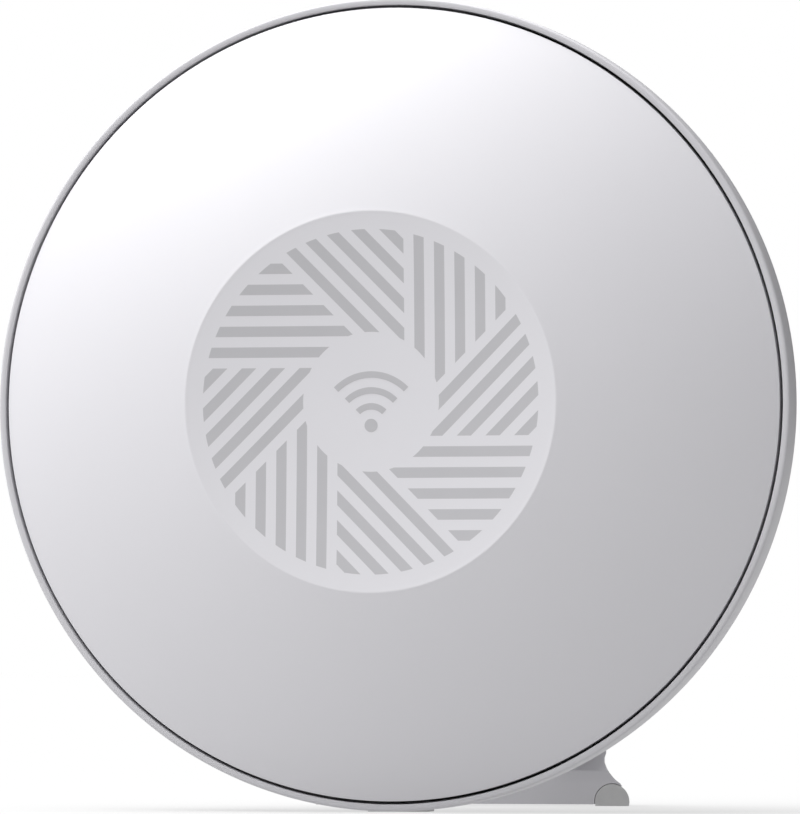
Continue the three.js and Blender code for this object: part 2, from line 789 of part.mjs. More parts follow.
function stand() {
  const front = alongY(standFace(), standFront - 1, footFront).add(narrowing(standFace(), footBack + 1));
  const body = alongX(standSide(), -footHalf - 1, footHalf + 1).intersect(front);
  const { half, bottom, top, corner } = cableHole;
  const hole = outline(
    [[1, top, 0], [-1, top, 90], [-1, bottom, 180], [1, bottom, 270]].flatMap(([side, height, from]) => {
      const inward = height === top ? -corner : corner;
      const at = [side * (half - corner), table + height + inward];
      return arcPoints(at, [corner, corner], from, from + 90, 4);
    }),
  );
  const headTop = railTop - gap;
  const headBottom = headTop - tongue.height;
  const headFront = railFront + (railDepth - tongue.thick) / 2;
  const head = box(-tongue.half, tongue.half, headFront, headFront + tongue.thick, headBottom, headTop);
  const neck = box(-tongue.neckHalf, tongue.neckHalf, headFront + 1, standFront + 1, headBottom, headTop);
  const cuts = [alongY(hole, standFront - 1, footBack), padSeat(-1), padSeat(1)];
  return cutAll(union([body, head, neck]), cuts);
}

// ---- Assembly ------------------------------------------------------------------------------------------

place("front_cover", frontCover(), "glossWhite");
place("light_diffuser", lightDiffuser(), "lightPanel");
place("reflector_cup", reflectorCup(), "mirrorWhite");
place("lamp_board", lampBoard(), "boardGreen");
for (let i = 0; i < lampCount; i++) {
  place(`lamp_${i + 1}`, lamp(i), "mirrorWhite");
}
place("lamp_flex_cable", lampFlex(), "flexAmber");
place("seam_gasket", seamGasket(), "gasketBlack");
place("rear_housing", rearHousing(), "satinWhite");
place("rim_pad", rimPadSolid(0), "rubberGrey");

place("main_board", mainBoard(), "boardGreen");
const { x: chipX, z: chipZ, size: chipSize, thick: chipThick } = processor;
place("processor_chip", onBoard(chipX, chipZ, chipSize, chipSize, chipThick), "chipBlack");
place("heat_sink", heatSink(), "aluminium");
place("memory_chip", onBoard(26, 4, 9, 12, 1.1), "chipBlack");
place("radio_shield_low_band", onBoard(-30, 25.5, 18, 14, 2.6), "steel");
place("radio_shield_high_band", onBoard(29, 28, 16, 9, 2.6), "steel");
place("power_inductor", onBoard(-26, 2, 8, 8, 4), "chipBlack");
[[-38, 0], [-16, 44]].forEach(([x, z], i) => {
  const can = barY(capacitor.radius, x, z, partsFront, partsFront + capacitor.length);
  place(`capacitor_${i + 1}`, can, "aluminium");
});

netCentres.forEach((at, i) => {
  const name = i === 0 ? "uplink_socket" : `network_socket_${i}`;
  place(`${name}_shield`, netShield(at), "steel");
  place(`${name}_core`, netCore(at), "blackPlastic");
});
place("power_socket", powerSocket(), "blackPlastic");

for (const each of keys) {
  place(each.name, key(each), "satinWhite");
  place(each.name.replace("button", "switch"), keySwitch(each), "steel");
}

antennaAngles.forEach((angle, i) => {
  place(`antenna_${i + 1}`, antennaStrip(angle), "copper");
  place(`antenna_lead_${i + 1}`, coaxLead(angle), "cableGrey");
});

const shellSeat = backPlane - shellScrewSunk + gap;
shellScrews.forEach((at, i) => {
  place(`housing_screw_${i + 1}`, screw(shellScrew, at, shellSeat, -1), "steel");
});
boardScrews.forEach((at, i) => {
  place(`board_screw_${i + 1}`, screw(boardScrew, at, boardFront - gap, 1), "steel");
});
lampScrewAngles.forEach((angle, i) => {
  const at = polar(lampScrewRing, angle);
  place(`lamp_board_screw_${i + 1}`, screw(lampScrew, at, lampBoardBack + gap, -1), "steel");
});

place("stand", stand(), "satinWhite");
place("stand_pad_left", standPad(-1), "rubberGrey");
place("stand_pad_right", standPad(1), "rubberGrey");

// Put the origin on the table under the middle of the outer box.
const bounds = new THREE.Box3().setFromObject(router);
const middle = bounds.getCenter(new THREE.Vector3());
router.position.set(-middle.x, -middle.y, -bounds.min.z);

export default router;
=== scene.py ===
# %% [markdown]
# # A round wireless router on a rear stand
# The router is a white disc that stands upright. A domed front cover carries a shallow dish with grey light
# bars, a deep rear housing holds the boards and the sockets, and a curved stand props the disc from behind.
# The solid model gives every piece its size and place. This lesson gives each one its fine shape and finish.

# %% Load the frame
import math
import bpy
import bmesh
from mathutils import Matrix, Vector


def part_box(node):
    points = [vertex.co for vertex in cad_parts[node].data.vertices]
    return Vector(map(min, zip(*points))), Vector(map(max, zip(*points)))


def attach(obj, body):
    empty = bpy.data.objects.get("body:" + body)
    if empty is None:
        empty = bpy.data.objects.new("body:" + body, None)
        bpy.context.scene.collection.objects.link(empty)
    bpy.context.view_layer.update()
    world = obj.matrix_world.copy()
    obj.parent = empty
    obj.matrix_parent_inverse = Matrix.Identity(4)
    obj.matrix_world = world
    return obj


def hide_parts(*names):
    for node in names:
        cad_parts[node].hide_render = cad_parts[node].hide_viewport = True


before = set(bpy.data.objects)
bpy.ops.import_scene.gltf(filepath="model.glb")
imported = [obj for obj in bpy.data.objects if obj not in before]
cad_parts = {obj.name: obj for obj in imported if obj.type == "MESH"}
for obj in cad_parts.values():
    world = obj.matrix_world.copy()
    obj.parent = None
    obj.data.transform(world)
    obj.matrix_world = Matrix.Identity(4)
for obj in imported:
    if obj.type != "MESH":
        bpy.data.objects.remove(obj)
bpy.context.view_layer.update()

# %% [markdown]
# Everything on the disc is drawn in millimetres about the disc's own axis, with y = 0 at the seam between
# the cover and the housing. The housing's box gives the axis, the seam and the rim's radius. One matrix then
# takes a finished mesh to its place in metres, so the object itself stays at the origin.

# %% Find the disc's axis
rim_low, rim_high = (Vector(corner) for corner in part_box("rear_housing"))
rim_radius = (rim_high.x - rim_low.x) * 500
disc_axis = Vector(((rim_low.x + rim_high.x) / 2, rim_low.y, (rim_low.z + rim_high.z) / 2))
to_place = Matrix.Translation(disc_axis) @ Matrix.Scale(0.001, 4)
table = -disc_axis.z * 1000
back_plane = (rim_high.y - rim_low.y) * 1000
print("rim radius", round(rim_radius, 2), "mm, axis at", tuple(round(v, 4) for v in disc_axis))

# %% [markdown]
# ## Camera
# The camera looks at the front from a little to the right and from just under the disc's middle. A long lens
# from one and a half metres keeps the circle almost free of perspective. The small shift frames the disc.

# %% Camera
turn, rise, away = math.radians(13.9), math.radians(-1.7), 1.575
direction = Vector((math.sin(turn) * math.cos(rise), -math.cos(turn) * math.cos(rise), math.sin(rise)))
lens = bpy.data.cameras.new("studio_camera")
lens.sensor_fit = "HORIZONTAL"
lens.sensor_width = 36
lens.lens = 360.7
lens.shift_x, lens.shift_y = 0.013, -0.0037
lens.clip_end = 100
camera = bpy.data.objects.new("studio_camera", lens)
bpy.context.scene.collection.objects.link(camera)
camera.location = disc_axis + direction * away
camera.rotation_euler = direction.to_track_quat("Z", "Y").to_euler()
bpy.context.scene.camera = camera
print("camera at", tuple(round(v, 3) for v in camera.location))

# %% [markdown]
# ## Writing materials as expressions
# A material is a small calculation that is done at every point of the surface. This class wraps one output
# of a node, and lets Python's own signs add the Math nodes, so a pattern reads like a formula.

# %% The value class
class Value:
    def __init__(self, tree, socket):
        self.tree, self.socket = tree, socket

    def node(self, kind, settings=None, out=0, **inputs):
        made = self.tree.nodes.new(kind)
        for key, setting in (settings or {}).items():
            setattr(made, key, setting)
        for key, value in inputs.items():
            name = key.replace("_", " ").strip()
            entry = made.inputs[int(name[1:])] if name[0] == "i" and name[1:].isdigit() else made.inputs[name]
            if isinstance(value, Value):
                self.tree.links.new(value.socket, entry)
            else:
                entry.default_value = value
        return Value(self.tree, made.outputs[out])

    def math(self, operation, *others):
        inputs = {f"i{i + 1}": other for i, other in enumerate(others)}
        return self.node("ShaderNodeMath", {"operation": operation}, i0=self, **inputs)

    def __add__(self, other):
        return self.math("ADD", other)

    def __sub__(self, other):
        return self.math("SUBTRACT", other)

    def __mul__(self, other):
        return self.math("MULTIPLY", other)

    def __truediv__(self, other):
        return self.math("DIVIDE", other)

    def __rsub__(self, other):
        return (self * -1) + other

    __radd__, __rmul__ = __add__, __mul__

    def above(self, edge):
        return self.math("GREATER_THAN", edge)

    def colour(self, low, high):
        return self.node("ShaderNodeMix", {"data_type": "RGBA"}, out=2, Factor=self, i6=low, i7=high)


# %% [markdown]
# A finish starts with a principled shader. Its helper hands over the place in millimetres about the disc's
# axis, which every pattern below is drawn from, and noise at a scale that is given in millimetres.

# %% The finish helper
def grey(level):
    return (level, level, level, 1)


def cool(level):
    """A white or grey with a touch of lavender."""
    return (level, level * 0.99, level * 1.035, 1)


class Finish:
    def __init__(self, name, colour, roughness, **constants):
        self.material = bpy.data.materials.new(name)
        self.material.use_nodes = True
        tree = self.material.node_tree
        self.shader = tree.nodes["Principled BSDF"]
        self.shader.inputs["Base Color"].default_value = colour
        self.shader.inputs["Roughness"].default_value = roughness
        for key, value in constants.items():
            self.shader.inputs[key.replace("_", " ")].default_value = value
        self.tree = tree
        start = Value(tree, tree.nodes.new("ShaderNodeTexCoord").outputs["Object"])
        mapping = {"Location": [-v * 1000 for v in disc_axis], "Scale": (1000, 1000, 1000)}
        self.place = start.node("ShaderNodeMapping", Vector=start, **mapping)

    def noise(self, size, detail=2.0, stretch=(1, 1, 1)):
        scaled = self.place.node("ShaderNodeMapping", Vector=self.place, Scale=[v / size for v in stretch])
        return self.place.node("ShaderNodeTexNoise", Vector=scaled, Scale=1.0, Detail=detail)

    def axis(self, index):
        return self.place.node("ShaderNodeSeparateXYZ", out=index, Vector=self.place)

    def feed(self, name, value):
        self.tree.links.new(value.socket, self.shader.inputs[name])

    def bump(self, height, depth_mm):
        raised = height.node("ShaderNodeBump", Height=height, Distance=depth_mm / 1000, Strength=1.0)
        self.feed("Normal", raised)


# %% [markdown]
# ## Finishes of the white shells
# Moulded white plastic is never one flat colour. The cover is smooth and satin, with a faint drift in its
# white and in its sheen, and its dish is blasted matt in the mould. The housing has a fine spark-eroded
# grain. Its white is painted darker than the cover's, as painted shade, so that its rim falls grey.

# %% White shells
matt_radius, matt_fade = 36.8, 0.8
cover_white = Finish("cover_white", cool(0.60), 0.42, IOR=1.46)
across, up = cover_white.axis(0), cover_white.axis(2)
from_axis = (across.math("POWER", 2.0) + up.math("POWER", 2.0)).math("SQRT")
in_dish = 1 - ((from_axis - matt_radius) / matt_fade).math("MINIMUM", 1.0).math("MAXIMUM", 0.0)
drift = cover_white.noise(38, 3)
cover_white.feed("Base Color", drift.colour(cool(0.59), cool(0.61)))
cover_white.feed("Roughness", in_dish * 0.2 + drift * 0.06 + 0.38)
cover_white.bump(cover_white.noise(0.22, 2), 0.004)

# Painted shade: the housing is the cover's white plastic, given a darker base colour so that its rim shows
# grey.
housing_shaded_white = Finish("housing_shaded_white", cool(0.50), 0.48, IOR=1.46)
drift = housing_shaded_white.noise(30, 3)
housing_shaded_white.feed("Base Color", drift.colour(cool(0.49), cool(0.51)))
housing_shaded_white.feed("Roughness", drift * 0.08 + 0.44)
housing_shaded_white.bump(housing_shaded_white.noise(0.35, 3), 0.012)

stand_white = Finish("stand_white", cool(0.585), 0.5, IOR=1.46)
drift = stand_white.noise(24, 3)
stand_white.feed("Base Color", drift.colour(cool(0.575), cool(0.595)))
stand_white.feed("Roughness", drift * 0.08 + 0.46)
stand_white.bump(stand_white.noise(0.3, 3), 0.012)
print("white finishes:", cover_white.material.name, housing_shaded_white.material.name, stand_white.material.name)

# %% [markdown]
# ## Finishes of the light bars, foam and rubber
# The bars are smoked translucent plastic. Unlit, they are a soft grey with slight flow clouds. The gasket is
# black foam with open pores, and its black is painted shade for the dark gap of the seam. The pads are grey
# rubber with a mottled bloom.

# %% Panel, foam and rubber
bar_grey = Finish("bar_grey", cool(0.42), 0.5, IOR=1.49)
cloud = bar_grey.noise(6, 3)
bar_grey.feed("Base Color", cloud.colour(cool(0.41), cool(0.43)))
bar_grey.feed("Roughness", cloud * 0.08 + 0.5)
bar_grey.bump(bar_grey.noise(0.25, 2), 0.004)

# Painted shade: the gasket's near-black stands for the shade deep in the seam between the shells.
seam_shade_black = Finish("seam_shade_black", grey(0.018), 0.9)
pores = seam_shade_black.place.node("ShaderNodeTexVoronoi", Vector=seam_shade_black.place, Scale=4.0)
seam_shade_black.feed("Base Color", pores.colour(grey(0.01), grey(0.03)))
seam_shade_black.bump(pores, 0.08)

pad_rubber = Finish("pad_rubber", grey(0.52), 0.75, IOR=1.5)
bloom = pad_rubber.noise(1.6, 4)
pad_rubber.feed("Base Color", bloom.colour(grey(0.50), grey(0.56)))
pad_rubber.feed("Roughness", bloom * 0.15 + 0.68)
pad_rubber.bump(pad_rubber.noise(0.2, 3), 0.02)

# %% [markdown]
# ## Finishes of the parts inside and of the sockets
# A circuit board shows its tracks through the green lacquer, so its pattern mixes thin lines and dots. Metal
# gets fine streaks along the way it was rolled or drawn, and black mouldings a soft mottle.

# %% Boards, metals and mouldings
def streaked(name, colour_low, colour_high, rough, stretch, size=0.25):
    """A metal with fine streaks, longest along the axis with the smallest stretch."""
    made = Finish(name, colour_low, rough, Metallic=1.0)
    streak = made.noise(size, 3, stretch)
    made.feed("Base Color", streak.colour(colour_low, colour_high))
    made.feed("Roughness", streak * 0.16 + (rough - 0.06))
    made.bump(streak, 0.004)
    return made


def mottled(name, colour_low, colour_high, rough, size=1.0, depth=0.01, **constants):
    """A plastic whose colour, sheen and skin vary softly."""
    made = Finish(name, colour_low, rough, **constants)
    mottle = made.noise(size, 3)
    made.feed("Base Color", mottle.colour(colour_low, colour_high))
    made.feed("Roughness", mottle * 0.12 + (rough - 0.05))
    made.bump(made.noise(size / 4, 2), depth)
    return made


socket_steel = streaked("socket_steel", grey(0.58), grey(0.72), 0.28, (1, 1, 0.05))
screw_steel = streaked("screw_steel", grey(0.5), grey(0.66), 0.32, (1, 1, 1), 0.4)
sink_metal = streaked("sink_metal", grey(0.52), grey(0.64), 0.38, (1, 1, 0.04))
antenna_copper = streaked("antenna_copper", (0.75, 0.42, 0.25, 1), (0.86, 0.52, 0.32, 1), 0.32, (1, 0.1, 1))
contact_gold = streaked("contact_gold", (0.83, 0.6, 0.25, 1), (0.93, 0.72, 0.36, 1), 0.25, (1, 1, 0.1), 0.3)
socket_black = mottled("socket_black", grey(0.012), grey(0.022), 0.5, 0.8)
chip_black = mottled("chip_black", grey(0.018), grey(0.03), 0.6, 0.5)
lead_black = mottled("lead_black", grey(0.02), grey(0.035), 0.45, 0.6, 0.02)
reflector_white = mottled("reflector_white", grey(0.86), grey(0.9), 0.6, 1.5)
flex_amber = mottled("flex_amber", (0.5, 0.24, 0.04, 1), (0.6, 0.3, 0.06, 1), 0.35, 2.0, Coat_Weight=0.3)

# A region's colour says which way its tracks run. A track lies in the middle of each lane.
lanes_per_mm, track_half, dot_radius = 0.9, 0.17, 0.14
board_green = Finish("board_green", (0.02, 0.14, 0.07, 1), 0.4, Coat_Weight=0.3)
across, up = board_green.axis(0), board_green.axis(2)
region = board_green.place.node("ShaderNodeTexVoronoi", out=1, Vector=board_green.place, Scale=0.09)
runs_up = region.node("ShaderNodeSeparateColor", Color=region).above(0.5)
lane = (runs_up * across + (1 - runs_up) * up) * lanes_per_mm
beside = (lane - lane.math("FLOOR") - 0.5).math("ABSOLUTE")
copper = 1 - beside.above(track_half)
dots = board_green.place.node("ShaderNodeTexVoronoi", Vector=board_green.place, Scale=0.35)
tracks = copper.math("MAXIMUM", 1 - dots.above(dot_radius))
board_green.feed("Base Color", tracks.colour((0.016, 0.12, 0.055, 1), (0.04, 0.22, 0.1, 1)))
board_green.feed("Roughness", tracks * -0.1 + 0.42)
board_green.bump(tracks, 0.03)
print("materials made:", len(bpy.data.materials))

# %% [markdown]
# ## Turning a bmesh into a piece
# Each piece ends the same way: faces that double are merged, normals point outwards, edges sharper than a
# given angle stay crisp, and the mesh is moved to its place. Then the piece is parented to an empty for the
# body it rides on, and the nodes of the solid model that it stands for are hidden.

# %% Piece helpers
def to_object(name, bm):
    """Makes an object of a bmesh in millimetres, with its place in its mesh."""
    bmesh.ops.remove_doubles(bm, verts=bm.verts, dist=1e-4)
    bmesh.ops.recalc_face_normals(bm, faces=bm.faces)
    bm.transform(to_place)
    mesh = bpy.data.meshes.new(name)
    bm.to_mesh(mesh)
    bm.free()
    mesh.shade_smooth()
    mesh.set_sharp_from_angle(angle=math.radians(35))
    made = bpy.data.objects.new(name, mesh)
    bpy.context.scene.collection.objects.link(made)
    return made


def settle(made, finish, nodes=(), body="router"):
    """Gives a piece its finish, parents it to its body's empty, and hides the nodes that it stands for."""
    made.data.materials.clear()
    made.data.materials.append(finish.material)
    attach(made, body)
    if nodes:
        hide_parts(*nodes)
    print(made.name, "has", len(made.data.polygons), "faces")
    return made


def apply_modifiers(made):
    """Keeps what the modifiers show as the mesh itself."""
    depsgraph = bpy.context.evaluated_depsgraph_get()
    mesh = bpy.data.meshes.new_from_object(made.evaluated_get(depsgraph))
    made.modifiers.clear()
    made.data = mesh
    return made


def combine(made, other, operation):
    """Joins, cuts or keeps the common part of two solids, and removes the second."""
    boolean = made.modifiers.new("boolean", "BOOLEAN")
    boolean.solver = "EXACT"
    boolean.operation = operation
    boolean.object = other
    apply_modifiers(made)
    print(made.name, operation, len(made.data.polygons))
    bpy.data.objects.remove(other)
    return made


def spun(profile, steps=256, close=True):
    """A profile of (radius, y) points in millimetres, turned about the disc's axis."""
    bm = bmesh.new()
    verts = [bm.verts.new((r, y, 0)) for r, y in profile]
    pairs = list(zip(verts, verts[1:])) + ([(verts[-1], verts[0])] if close else [])
    edges = [bm.edges.new(pair) for pair in pairs]
    bmesh.ops.spin(bm, geom=verts + edges, cent=(0, 0, 0), axis=(0, 1, 0), dvec=(0, 0, 0),
                   angle=2 * math.pi, steps=steps, use_merge=True, use_duplicate=False)
    bmesh.ops.remove_doubles(bm, verts=bm.verts, dist=1e-5)
    return bm


def only(geom, kind):
    """The vertices, edges or faces among what an operator made."""
    return [part for part in geom if isinstance(part, kind)]


def slab(points, low, high, along="Y"):
    """A flat outline, drawn in x and z (or y and z along X), pushed from low to high."""
    bm = bmesh.new()
    corner = (lambda a, b: (a, low, b)) if along == "Y" else (lambda a, b: (low, a, b))
    face = bm.faces.new([bm.verts.new(corner(a, b)) for a, b in points])
    pushed = bmesh.ops.extrude_face_region(bm, geom=[face])
    step = (0, high - low, 0) if along == "Y" else (high - low, 0, 0)
    bmesh.ops.translate(bm, vec=step, verts=only(pushed["geom"], bmesh.types.BMVert))
    bmesh.ops.recalc_face_normals(bm, faces=bm.faces)
    return bm


def arc(centre, size, start, end, steps):
    """Points on a circle, from one angle in degrees to another."""
    angles = [math.radians(start + (end - start) * i / steps) for i in range(steps + 1)]
    return [(centre[0] + size * math.cos(a), centre[1] + size * math.sin(a)) for a in angles]


def block(x, y, z):
    """A box between two values on each axis, as a bmesh."""
    bm = bmesh.new()
    middle = Vector(((x[0] + x[1]) / 2, (y[0] + y[1]) / 2, (z[0] + z[1]) / 2))
    size = Matrix.Diagonal((x[1] - x[0], y[1] - y[0], z[1] - z[0], 1))
    bmesh.ops.create_cube(bm, size=1, matrix=Matrix.Translation(middle) @ size)
    return bm


def rod(radius, x, z, low, high, segments=48):
    """A round bar along Y, as a bmesh."""
    bm = bmesh.new()
    place = Matrix.Translation((x, (low + high) / 2, z)) @ Matrix.Rotation(math.pi / 2, 4, "X")
    bmesh.ops.create_cone(bm, cap_ends=True, segments=segments, radius1=radius, radius2=radius,
                          depth=high - low, matrix=place)
    return bm


def gathered(parts):
    """Several bmeshes as one."""
    whole = bmesh.new()
    for part in parts:
        mesh = bpy.data.meshes.new("part")
        part.to_mesh(mesh)
        part.free()
        whole.from_mesh(mesh)
        bpy.data.meshes.remove(mesh)
    return whole


# %% [markdown]
# ## The front cover's surface
# One rule gives the depth of the front at each radius. The dome is part of a large sphere, and the dish is a
# shallow bowl. A smooth step between them rounds the crest, as a polished mould does.

# %% Front surface
cover_radius = 78.0
dish_radius, dish_depth, dome_height, crest = 37.2, 1.3, 16.3, 0.5
cover_wall = 2.0
dome_centre = (cover_radius ** 2 - dish_radius ** 2 - dome_height ** 2) / (2 * dome_height)
dome_size = math.hypot(cover_radius, dome_centre)


def front_depth(r):
    """The surface's y at a distance from the axis. The front is at negative y."""
    sphere = dome_centre - math.sqrt(dome_size ** 2 - r * r)
    bowl = dish_depth * (1 - (r / dish_radius) ** 2) - dome_height
    blend = min(max((r - dish_radius + crest) / (2 * crest), 0), 1)
    blend = blend * blend * (3 - 2 * blend)
    return bowl * (1 - blend) + sphere * blend


depths = [round(front_depth(r), 2) for r in (0, dish_radius, cover_radius)]
print("depth at the middle, the crest and the edge:", depths)

# %% [markdown]
# ## Where the light bars lie
# The ring of bars turns like a camera's iris. Eight sectors share it, each with five straight bars, and a bar
# stops where it would meet the first bar of the next sector. A face belongs to the last sector whose starting
# line it lies beyond, which is a rule that a computer can test for each face.

# %% Bar pattern
bar_ring, bar_clear = 33.65, 13.63
bar_pitch, bar_width, bar_start, bars_each = 4.08, 2.04, 8.74, 5
line_start = bar_start - (bar_pitch - bar_width)
sector_lines = [Vector((math.sin(k * math.pi / 4), 0, math.cos(k * math.pi / 4))) for k in range(8)]


def sector_of(point):
    for k, line in enumerate(sector_lines):
        if line.dot(point) > line_start and sector_lines[(k + 1) % 8].dot(point) <= line_start:
            return k
    return None


def on_bar(point):
    k = sector_of(point)
    across = math.hypot(point.x, point.z)
    if k is None or not bar_clear < across < bar_ring:
        return False
    beyond = sector_lines[k].dot(point) - bar_start
    return 0 < beyond < (bars_each - 1) * bar_pitch + bar_width and beyond % bar_pitch < bar_width


# %% [markdown]
# ## Cutting the bars out of the cover
# The cover starts as a flat disc of rings and spokes. Knife cuts with bisect_plane run along every bar's
# edges, but only through the faces of that bar's sector. The bars and the cover share those cut edges, so
# the bars sit flush, like a second shot of plastic in one mould.

# %% Front disc
def flat_disc():
    """Rings that lie closer where the surface turns quickly: at the dish's edge and at the rim."""
    rings = [0, 3, 6, 9, 12, bar_clear, 16, 19, 22, 25, 28, 31, bar_ring, 34.6]
    rings += [35.8] + [dish_radius - crest + 0.125 * i for i in range(9)] + [38.4, 40, 41.5]
    rings += [43.5 + (77.3 - 43.5) * i / 22 for i in range(23)] + [77.7, 77.9, cover_radius]
    return spun([(r, 0) for r in rings], steps=256, close=False)


def cut(bm, faces, line, distance):
    """A knife cut through some faces, along a plane at a distance from the axis."""
    geom = set(faces)
    for face in faces:
        geom.update(face.edges)
        geom.update(face.verts)
    bmesh.ops.bisect_plane(bm, geom=list(geom), dist=1e-5, plane_co=line * distance, plane_no=line)


front = flat_disc()
for line in sector_lines:
    cut(front, [f for f in front.faces if f.calc_center_median().length < bar_ring], line, line_start)
for k, line in enumerate(sector_lines):
    for i in range(bars_each):
        for edge in (0, bar_width):
            near = [f for f in front.faces if bar_clear < f.calc_center_median().length < bar_ring
                    and sector_of(f.calc_center_median()) == k]
            cut(front, near, line, bar_start + i * bar_pitch + edge)
print("front disc has", len(front.faces), "faces")

# %% [markdown]
# Now the faces are sorted. A copy keeps only the bars, and the disc keeps the rest. Lifting moves each
# vertex to its depth, and two short extrusions round the rim and draw it back into a skirt.

# %% Lift and part
bars = front.copy()
bmesh.ops.delete(bars, geom=[f for f in bars.faces if not on_bar(f.calc_center_median())], context="FACES")
bmesh.ops.delete(front, geom=[f for f in front.faces if on_bar(f.calc_center_median())], context="FACES")
for bm in (front, bars):
    for vert in bm.verts:
        vert.co.y = front_depth(math.hypot(vert.co.x, vert.co.z))
rim_edges = [e for e in front.edges
             if e.is_boundary and all(math.hypot(v.co.x, v.co.z) > cover_radius - 0.01 for v in e.verts)]
for depth in (0.15, 2.45):
    pushed = bmesh.ops.extrude_edge_only(front, edges=rim_edges)["geom"]
    rim_edges = only(pushed, bmesh.types.BMEdge)
    bmesh.ops.translate(front, vec=(0, depth, 0), verts=only(pushed, bmesh.types.BMVert))

# %% [markdown]
# Both are still open sheets. An open sheet has no inside, so its faces are turned to look to the front by
# hand, and Solidify then adds the wall behind them.

# %% Cover and bars
def turn_to_front(bm):
    """Turns an open sheet's faces so that they look to the front, which is at negative y."""
    bmesh.ops.recalc_face_normals(bm, faces=bm.faces)
    behind = sum(f.normal.y * f.calc_area() for f in bm.faces)
    if behind > 0:
        bmesh.ops.reverse_faces(bm, faces=bm.faces)


def sheet_piece(name, bm):
    """Makes an object of an open sheet, with a wall behind it."""
    for face in bm.faces:
        face.normal_update()
    turn_to_front(bm)
    bm.transform(to_place)
    mesh = bpy.data.meshes.new(name)
    bm.to_mesh(mesh)
    bm.free()
    mesh.shade_smooth()
    made = bpy.data.objects.new(name, mesh)
    bpy.context.scene.collection.objects.link(made)
    solidify = made.modifiers.new("wall", "SOLIDIFY")
    solidify.thickness, solidify.offset, solidify.use_even_offset = cover_wall / 1000, -1, False
    apply_modifiers(made)
    made.data.set_sharp_from_angle(angle=math.radians(35))
    return made


settle(sheet_piece("cover_shell", front), cover_white, ["front_cover"])
settle(sheet_piece("light_bars", bars), bar_grey, ["light_diffuser"])

# %% [markdown]
# ## Emblem
# A small mark sits in the clear circle: a dot and three arcs, the common sign for radio waves. It is printed
# in the grey of the bars, so each stroke is a very thin raised slab that follows the dish.

# %% Emblem
emblem_low, dot_size, stroke = -4.6, 1.3, 1.25
raised, sunk = -0.03, 0.3
parts = [rod(dot_size, 0, emblem_low, raised, sunk)]
for inner in (3.1, 6.2, 9.3):
    outer_arc = arc((0, emblem_low), inner + stroke, 45, 135, 24)
    inner_arc = arc((0, emblem_low), inner, 135, 45, 24)
    parts.append(slab(outer_arc + inner_arc, raised, sunk))
emblem = gathered(parts)
for vert in emblem.verts:
    vert.co.y += front_depth(math.hypot(vert.co.x, vert.co.z))
settle(to_object("emblem", emblem), bar_grey)

# %% [markdown]
# ## Gasket
# A black foam ring fills the seam between the shells, and its black is painted shade for the dark gap there.
# Only a dark line of it shows, but that line draws the circle of the cover, so it is spun round and smooth.

# %% Gasket
seam_ring = rim_radius - 1.4
gasket_in, gasket_out = seam_ring - 2.7, seam_ring - 0.3
gasket = spun([(gasket_in, 2.9), (gasket_out, 2.9), (gasket_out, 3.9), (gasket_in, 3.9)])
settle(to_object("gasket_ring", gasket), seam_shade_black, ["seam_gasket"])

# %% [markdown]
# ## Rear housing
# The housing is a deep bowl with a rounded rim. A full spin of its wall makes it, with a lip at the seam that
# has a tiny round to catch the light. Boolean cuts then open the plug bay, the slots and the holes, as the
# slides of the mould do.

# %% Housing bowl
back_ring, rim_flat, wall = 62.0, 4.4, 2.2


def bowl_curve(offset, steps, start=0, end=90):
    """The rounded side of the bowl, drawn inwards by an offset, from the rim (0) to the back (90)."""
    wide, deep = rim_radius - back_ring, back_plane - rim_flat - offset
    angles = [math.radians(start + (end - start) * i / steps) for i in range(steps + 1)]
    return [(back_ring - offset + wide * math.cos(a), rim_flat + deep * math.sin(a)) for a in angles]


lip = [(seam_ring, 0.25), (seam_ring + 0.1, 0.06), (seam_ring + 0.3, 0), (rim_radius - 0.5, 0),
       (rim_radius - 0.25, 0.07), (rim_radius - 0.07, 0.25), (rim_radius, 0.5)]
inside = [(0, back_plane - wall), (30, back_plane - wall)] + bowl_curve(wall, 16, 90, 20)
inside += [(75.9, 6.4), (75.9, 4.2), (seam_ring, 4.2)]
outside = lip + bowl_curve(0, 28) + [(30, back_plane), (0, back_plane)]
housing = to_object("housing_shell", spun(inside + outside, close=False))
half_way = [(0, rim_flat)] + bowl_curve(wall / 2, 28) + [(0, back_plane - wall / 2)]
filled = to_object("bowl_filled", spun(half_way, close=False))
print("housing bowl:", len(housing.data.polygons), "faces")

# %% [markdown]
# The plug bay is a pocket low in the back. Its ceiling carries the sockets, and its floor ramps out so that
# cables leave downwards. A solid block, clipped half way through the bowl's wall, gives the pocket its walls
# before it is hollowed.

# %% Plug bay
bay_half, bay_top, bay_front, ramp_top = 44.0, -28.0, 8.0, -56.0


def bay_side(offset):
    """The bay's outline from the side, made larger by an offset. It runs out past the back."""
    slope = (ramp_top + back_ring + 8) / (back_plane - bay_front)
    drop = offset * math.hypot(1, slope)
    ends = (bay_front - offset, back_plane + 14)
    ramp = [(y, ramp_top - slope * (y - bay_front) - drop) for y in ends]
    return [(ends[0], bay_top + offset), *ramp, (ends[1], bay_top + offset)]


bay_wall = 2.0
pocket = to_object("pocket", slab(bay_side(bay_wall), -bay_half - bay_wall, bay_half + bay_wall, "X"))
combine(pocket, filled, "INTERSECT")
combine(housing, pocket, "UNION")
combine(housing, to_object("bay_hollow", slab(bay_side(0), -bay_half, bay_half, "X")), "DIFFERENCE")

# %% [markdown]
# Slots, screw recesses, keyholes, key holes and the window for the stand's tongue are all cut at once: their
# cutters don't touch each other, so they can be one object. A slot's cutter is a box turned about the axis.

